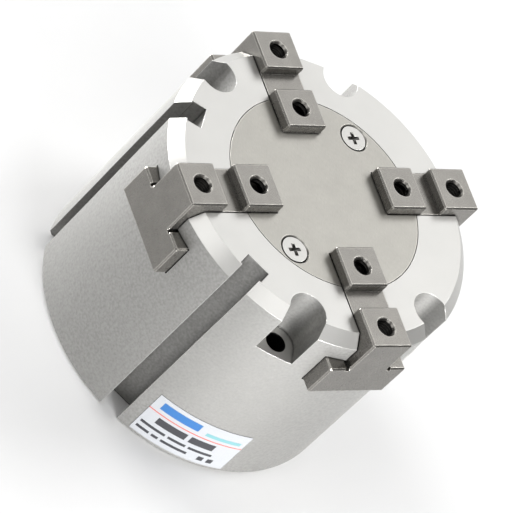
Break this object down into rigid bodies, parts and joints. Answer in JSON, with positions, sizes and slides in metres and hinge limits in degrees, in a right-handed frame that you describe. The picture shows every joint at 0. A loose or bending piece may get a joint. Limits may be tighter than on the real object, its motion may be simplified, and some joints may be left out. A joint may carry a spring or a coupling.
{
  "type": "four-jaw pneumatic gripper",
  "caption": "Round pneumatic gripper with T-footed master jaws that run radially in a cylindrical body, driven by a wedge cam and piston.",
  "frame": {"origin": "centre of the rear mounting face, on the body's axis", "axes": "+Z along the gripping axis, out of the jaw face; the jaws lie on +X, +Y, -X and -Y; the air ports face +X and the sensor grooves are on the -X side"},
  "size_m": [0.0902, 0.0902, 0.066],
  "materials": {
    "body_aluminium": "bead-blasted, clear anodised",
    "plate_steel": "satin ground stainless steel",
    "screw_steel": "plain machined stainless steel",
    "jaw_steel": "satin nitrided steel with bright edges",
    "hard_steel": "ground hardened steel",
    "black_steel": "oiled black steel",
    "piston_aluminium": "turned aluminium",
    "rod_chrome": "hard chromed and polished",
    "seal_rubber": "nitrile rubber",
    "bumper_rubber": "urethane rubber",
    "magnet_plastic": "plastic-bonded magnet",
    "wear_plastic": "filled acetal",
    "cap_aluminium": "turned, clear anodised",
    "label_film": "printed polyester film"
  },
  "bodies": {
    "housing": {"body": "body_aluminium", "end_plate": "plate_steel", "end_plate_screws": "screw_steel", "rod_seal": "seal_rubber", "rod_seal_retainer": "screw_steel", "end_cap": "cap_aluminium", "end_cap_o_ring": "seal_rubber", "snap_ring": "black_steel", "rating_label": "label_film"},
    "drive": {"piston": "piston_aluminium", "piston_rod": "rod_chrome", "piston_rod_o_ring": "seal_rubber", "piston_seal": "seal_rubber", "piston_magnet": "magnet_plastic", "piston_wear_ring": "wear_plastic", "upper_bumper": "bumper_rubber", "lower_bumper": "bumper_rubber", "wedge_cam": "hard_steel", "cam_bolt": "black_steel", "cam_bolt_washer": "screw_steel"},
    "jaw_1_slide": {"jaw_1": "jaw_steel"},
    "jaw_2_slide": {"jaw_2": "jaw_steel"},
    "jaw_3_slide": {"jaw_3": "jaw_steel"},
    "jaw_4_slide": {"jaw_4": "jaw_steel"}
  },
  "joints": [
    {"name": "piston_slide", "type": "slide", "parent": "housing", "child": "drive", "axis": [0, 0, -1], "range_m": [0, 0.008]},
    {"name": "jaw_1_travel", "type": "slide", "parent": "housing", "child": "jaw_1_slide", "axis": [-1, 0, 0], "range_m": [0, 0.008]},
    {"name": "jaw_2_travel", "type": "slide", "parent": "housing", "child": "jaw_2_slide", "axis": [0, -1, 0], "range_m": [0, 0.008]},
    {"name": "jaw_3_travel", "type": "slide", "parent": "housing", "child": "jaw_3_slide", "axis": [1, 0, 0], "range_m": [0, 0.008]},
    {"name": "jaw_4_travel", "type": "slide", "parent": "housing", "child": "jaw_4_slide", "axis": [0, 1, 0], "range_m": [0, 0.008]}
  ],
  "couplings": [
    {"joint": "jaw_1_travel", "follows": "piston_slide", "ratio": 1},
    {"joint": "jaw_2_travel", "follows": "piston_slide", "ratio": 1},
    {"joint": "jaw_3_travel", "follows": "piston_slide", "ratio": 1},
    {"joint": "jaw_4_travel", "follows": "piston_slide", "ratio": 1}
  ]
}
